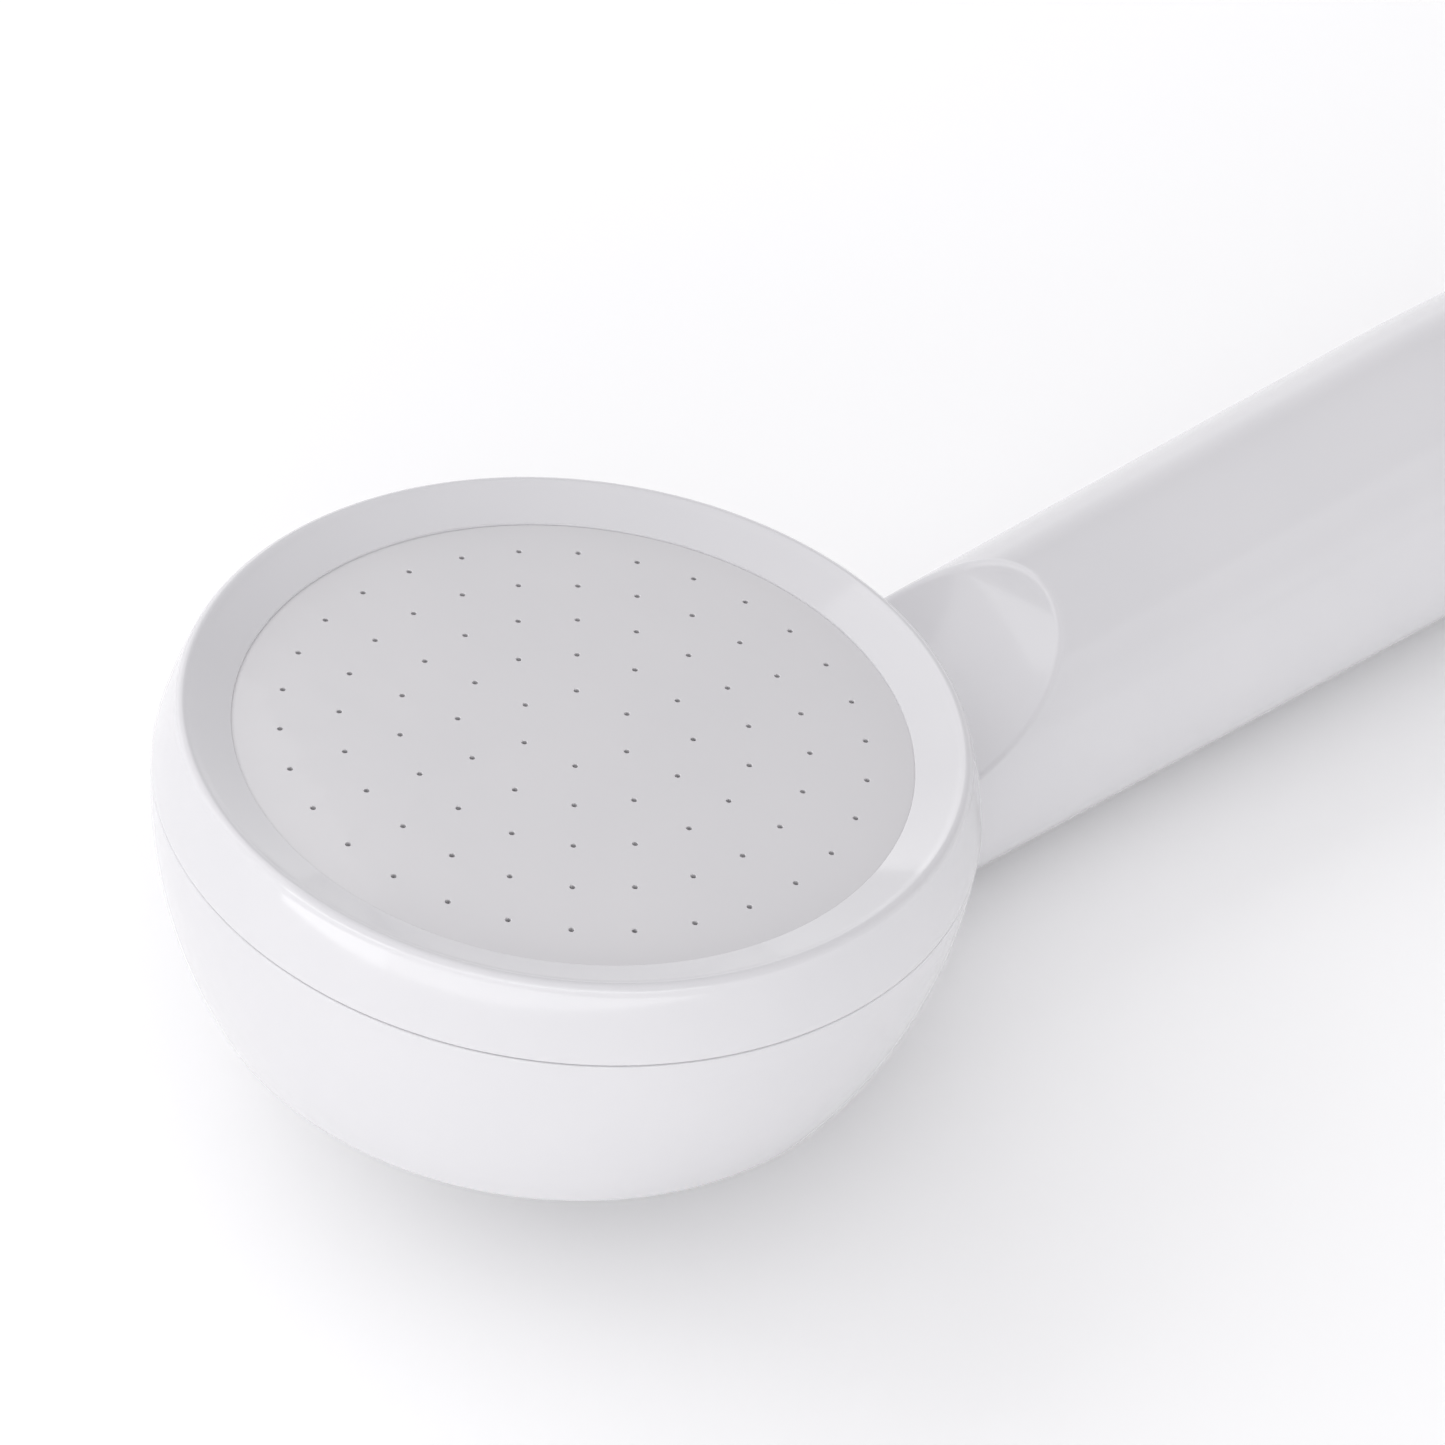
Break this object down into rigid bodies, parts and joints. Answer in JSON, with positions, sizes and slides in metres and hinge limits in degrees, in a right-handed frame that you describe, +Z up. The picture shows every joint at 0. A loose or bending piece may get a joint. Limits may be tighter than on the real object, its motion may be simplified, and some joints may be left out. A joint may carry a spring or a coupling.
{
  "type": "handheld shower head",
  "caption": "Handheld shower head with a round domed micro-hole spray face, a screw-on face ring, a scooped neck and a straight handle ending in a threaded hose connector.",
  "frame": {"origin": "on the floor that the part lies on, under the middle of its bounding box", "axes": "+X from the head towards the hose end, +Y across, +Z up; the part lies on its back with the spray face up"},
  "size_m": [0.2232, 0.074, 0.0429],
  "materials": {
    "white_gloss_plastic": "glossy white moulded ABS",
    "natural_matte_plastic": "natural acetal, as moulded",
    "black_rubber": "matt black nitrile rubber",
    "chrome": "polished chrome on brass",
    "stainless_steel": "bright stainless steel"
  },
  "bodies": {
    "handset": {"body_shell": "white_gloss_plastic", "ring_o_ring": "black_rubber", "water_distributor": "natural_matte_plastic", "distributor_screw_1": "stainless_steel", "distributor_screw_2": "stainless_steel", "distributor_screw_3": "stainless_steel", "water_tube": "natural_matte_plastic", "tube_front_o_ring": "black_rubber", "tube_rear_o_ring": "black_rubber", "end_collar": "white_gloss_plastic", "hose_connector": "chrome", "connector_o_ring": "black_rubber", "check_valve_body": "natural_matte_plastic", "check_valve_cap": "natural_matte_plastic", "check_valve_o_ring": "black_rubber", "check_valve_spring": "stainless_steel", "flow_regulator": "natural_matte_plastic", "flow_regulator_o_ring": "black_rubber", "strainer_mesh": "stainless_steel", "strainer_washer": "black_rubber"},
    "face": {"spray_plate": "white_gloss_plastic", "plate_gasket": "black_rubber"},
    "ring": {"face_ring": "white_gloss_plastic"},
    "poppet": {"check_valve_poppet": "natural_matte_plastic"}
  },
  "joints": [
    {"name": "face_lift", "type": "slide", "parent": "handset", "child": "face", "axis": [0.1196, 0, 0.9928], "range_m": [0, 0.006]},
    {"name": "ring_turn", "type": "hinge", "parent": "face", "child": "ring", "pos_m": [-0.07391, 0, 0.038], "axis": [0.1196, 0, 0.9928], "range_deg": [0, 720]},
    {"name": "check_valve_lift", "type": "slide", "parent": "handset", "child": "poppet", "axis": [-0.9999, 0, -0.0145], "range_m": [0, 0.0025], "stiffness_N_per_m": 30, "springref_m": -0.003, "deforming": ["check_valve_spring"]}
  ],
  "couplings": [
    {"joint": "ring_turn", "follows": "face_lift", "rad_per_m": 2094.4}
  ]
}
